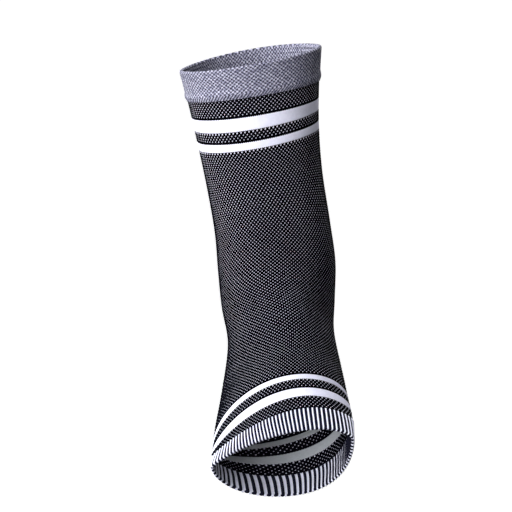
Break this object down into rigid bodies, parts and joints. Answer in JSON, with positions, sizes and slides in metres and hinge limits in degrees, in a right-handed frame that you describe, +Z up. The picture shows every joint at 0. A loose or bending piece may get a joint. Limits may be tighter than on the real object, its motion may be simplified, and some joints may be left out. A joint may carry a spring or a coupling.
{
  "type": "ankle brace",
  "caption": "Knitted ankle support sleeve in its worn shape, open at the leg and at the foot, with a grey top cuff, white stripes on black knit and a ribbed foot cuff.",
  "frame": {"origin": "centre of the ankle, inside the sleeve, where the wearer's leg holds it", "axes": "+Z up along the leg, front of the shin and the toes towards -Y, +X to the viewer's right from the front"},
  "size_m": [0.0927, 0.1487, 0.2588],
  "materials": {
    "melange_knit": "grey melange double knit",
    "ground_knit": "black knit with pale bird's-eye dots",
    "stripe_knit": "white plain knit",
    "rib_knit": "rib of alternate white and black stitches"
  },
  "bodies": {
    "root": {"top_cuff": "melange_knit", "collar_knit": "ground_knit", "upper_stripe_wide": "stripe_knit", "upper_divider_knit": "ground_knit", "upper_stripe_narrow": "stripe_knit", "shin_knit": "ground_knit", "ankle_knit": "ground_knit", "heel_knit": "ground_knit", "arch_knit": "ground_knit", "lower_stripe_narrow": "stripe_knit", "lower_divider_knit": "ground_knit", "lower_stripe_wide": "stripe_knit", "instep_knit": "ground_knit", "foot_cuff": "rib_knit"}
  },
  "joints": []
}
